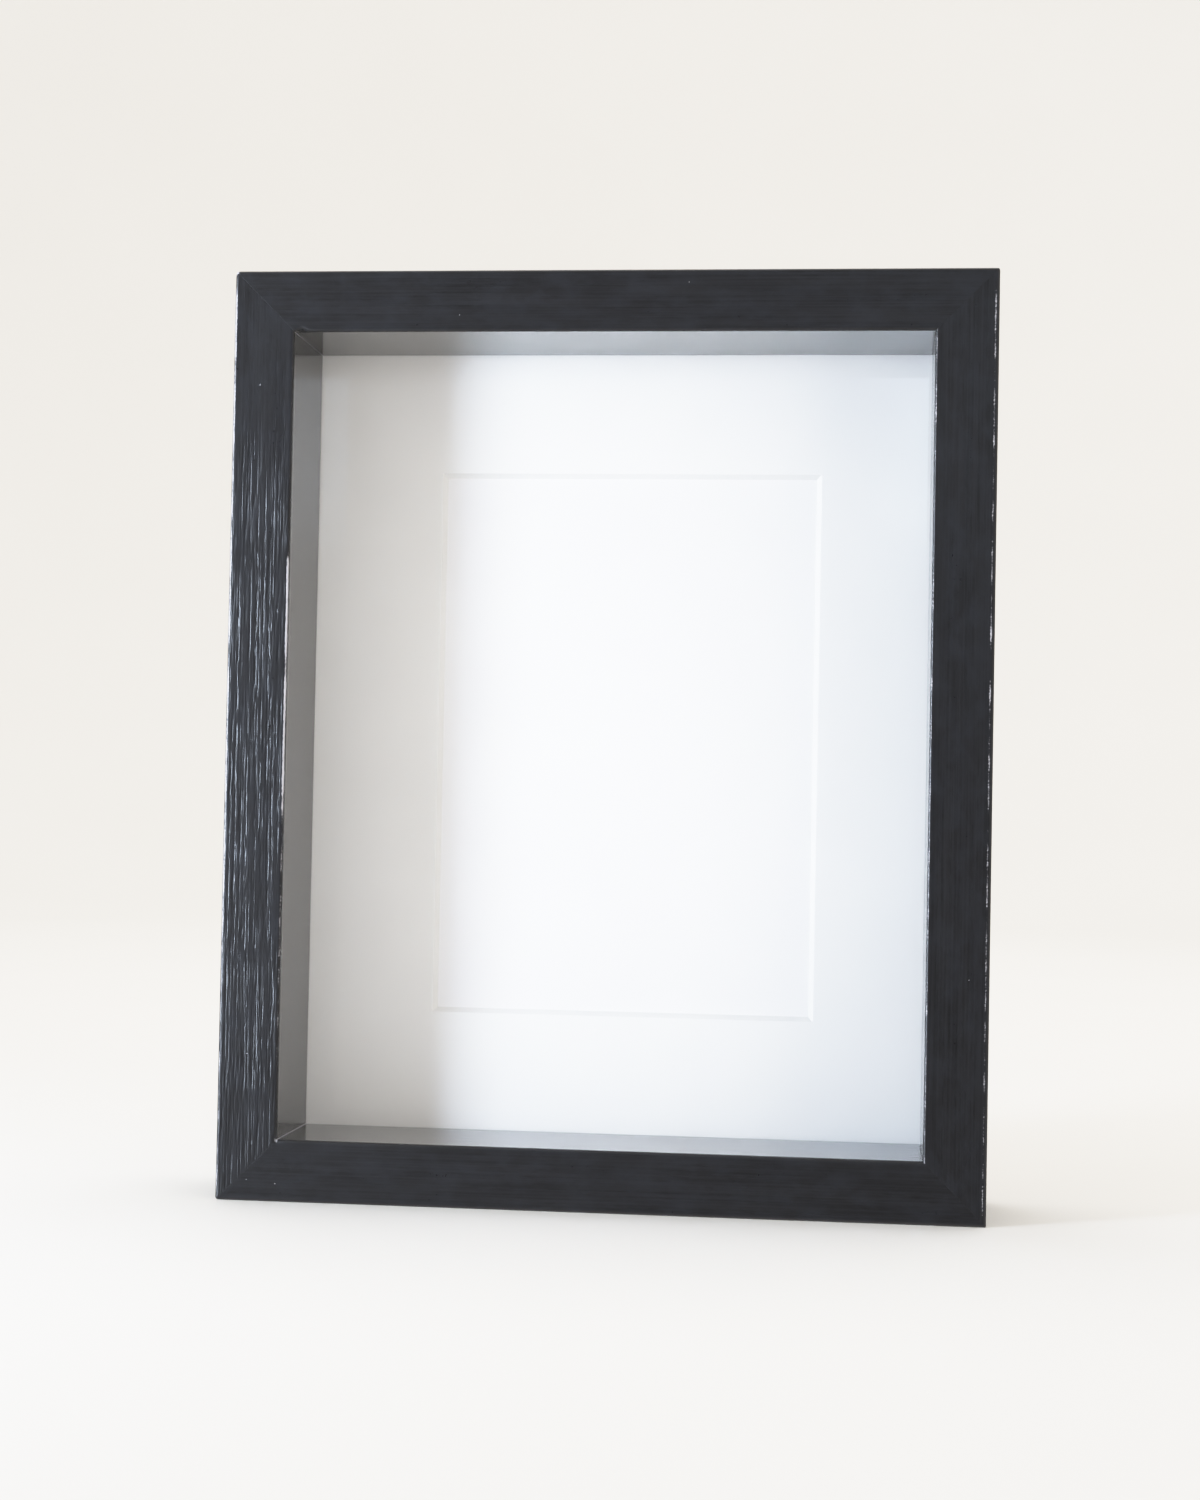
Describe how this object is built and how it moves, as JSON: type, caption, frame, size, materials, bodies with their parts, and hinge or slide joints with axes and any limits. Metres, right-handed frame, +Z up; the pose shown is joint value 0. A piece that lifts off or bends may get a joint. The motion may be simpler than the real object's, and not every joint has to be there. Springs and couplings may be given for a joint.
{
  "type": "shadow box",
  "caption": "Deep mitred black wooden box frame with glass and a bevelled white window mat at its rear, turn-button back and D-ring hangers.",
  "frame": {"origin": "under the middle of the bounding box, on the underside of the bottom rail", "axes": "+X to the viewer's right, -Y out of the front face, +Y out of the back, +Z up"},
  "size_m": [0.2274, 0.0534, 0.2781],
  "materials": {
    "black_wood": "satin black stain with open grain outside and gloss inside, worn along its edges",
    "nail_steel": "plain galvanised",
    "clear_glass": "clear, polished",
    "mat_board": "fine matte board with a bevelled window",
    "white_paper": "smooth matte",
    "grey_board": "rough grey board",
    "brown_hardboard": "pressed fibreboard, matte",
    "brass_plate": "thin brass plating, lightly scratched",
    "ring_wire": "thin brass plating, polished",
    "screw_steel": "yellow passivated steel",
    "black_rubber": "matte"
  },
  "bodies": {
    "frame": {"top_rail": "black_wood", "bottom_rail": "black_wood", "left_rail": "black_wood", "right_rail": "black_wood", "corner_v_nails": "nail_steel", "glass_pane": "clear_glass", "window_mat": "mat_board", "insert_sheet": "white_paper", "filler_board": "grey_board", "back_panel": "brown_hardboard", "turn_button_screws": "screw_steel", "hanger_strap_left": "brass_plate", "hanger_strap_right": "brass_plate", "hanger_screws": "screw_steel", "wall_bumpers": "black_rubber"},
    "button_top": {"turn_button_top": "brass_plate"},
    "button_bottom": {"turn_button_bottom": "brass_plate"},
    "button_left_upper": {"turn_button_left_upper": "brass_plate"},
    "button_left_lower": {"turn_button_left_lower": "brass_plate"},
    "button_right_upper": {"turn_button_right_upper": "brass_plate"},
    "button_right_lower": {"turn_button_right_lower": "brass_plate"},
    "ring_left": {"hanger_ring_left": "ring_wire"},
    "ring_right": {"hanger_ring_right": "ring_wire"}
  },
  "joints": [
    {"name": "button_top_turn", "type": "hinge", "parent": "frame", "child": "button_top", "pos_m": [0, 0.0223, 0.27248], "axis": [0, 1, 0], "continuous": true},
    {"name": "button_bottom_turn", "type": "hinge", "parent": "frame", "child": "button_bottom", "pos_m": [0, 0.0223, 0.00562], "axis": [0, 1, 0], "continuous": true},
    {"name": "button_left_upper_turn", "type": "hinge", "parent": "frame", "child": "button_left_upper", "pos_m": [-0.10802, 0.0223, 0.18305], "axis": [0, 1, 0], "continuous": true},
    {"name": "button_left_lower_turn", "type": "hinge", "parent": "frame", "child": "button_left_lower", "pos_m": [-0.10802, 0.0223, 0.09505], "axis": [0, 1, 0], "continuous": true},
    {"name": "button_right_upper_turn", "type": "hinge", "parent": "frame", "child": "button_right_upper", "pos_m": [0.10802, 0.0223, 0.18305], "axis": [0, 1, 0], "continuous": true},
    {"name": "button_right_lower_turn", "type": "hinge", "parent": "frame", "child": "button_right_lower", "pos_m": [0.10802, 0.0223, 0.09505], "axis": [0, 1, 0], "continuous": true},
    {"name": "ring_left_swing", "type": "hinge", "parent": "frame", "child": "ring_left", "pos_m": [-0.1072, 0.02446, 0.2281], "axis": [1, 0, 0], "range_deg": [0, 180]},
    {"name": "ring_right_swing", "type": "hinge", "parent": "frame", "child": "ring_right", "pos_m": [0.1072, 0.02446, 0.2281], "axis": [1, 0, 0], "range_deg": [0, 180]}
  ]
}
